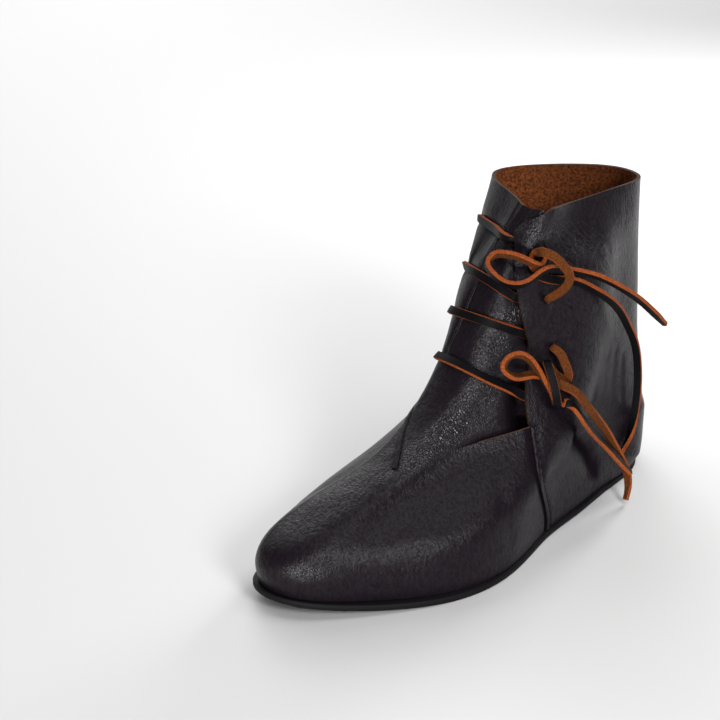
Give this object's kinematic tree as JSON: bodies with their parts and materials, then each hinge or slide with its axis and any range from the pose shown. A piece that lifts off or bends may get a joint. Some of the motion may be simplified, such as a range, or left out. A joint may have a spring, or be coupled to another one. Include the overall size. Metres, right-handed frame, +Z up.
{
  "type": "lace-up ankle boot",
  "caption": "Left ankle boot in soft leather, laced at its outer side: thin flat sole, hollow upper with a lacing flap, front panel and flat laces tied in half bows.",
  "frame": {"origin": "middle of the bounding box, on the ground under the sole", "axes": "+X to the toe, +Y to the outer side of the left foot, +Z up"},
  "size_m": [0.2872, 0.1117, 0.1814],
  "materials": {
    "sole_leather": "satin",
    "black_leather": "glossy grain",
    "brown_suede": "matt nap",
    "lace_leather": "black grain face, tan suede back and cut edges"
  },
  "bodies": {
    "root": {"outsole": "sole_leather", "upper": "black_leather", "tongue": "black_leather", "insole": "brown_suede", "upper_lace_bar_1": "lace_leather", "upper_lace_bar_2": "lace_leather", "lower_lace_bar_1": "lace_leather", "lower_lace_bar_2": "lace_leather", "upper_lace_loop": "lace_leather", "upper_lace_wrap": "lace_leather", "lower_lace_loop": "lace_leather", "lower_lace_wrap": "lace_leather"}
  },
  "joints": []
}
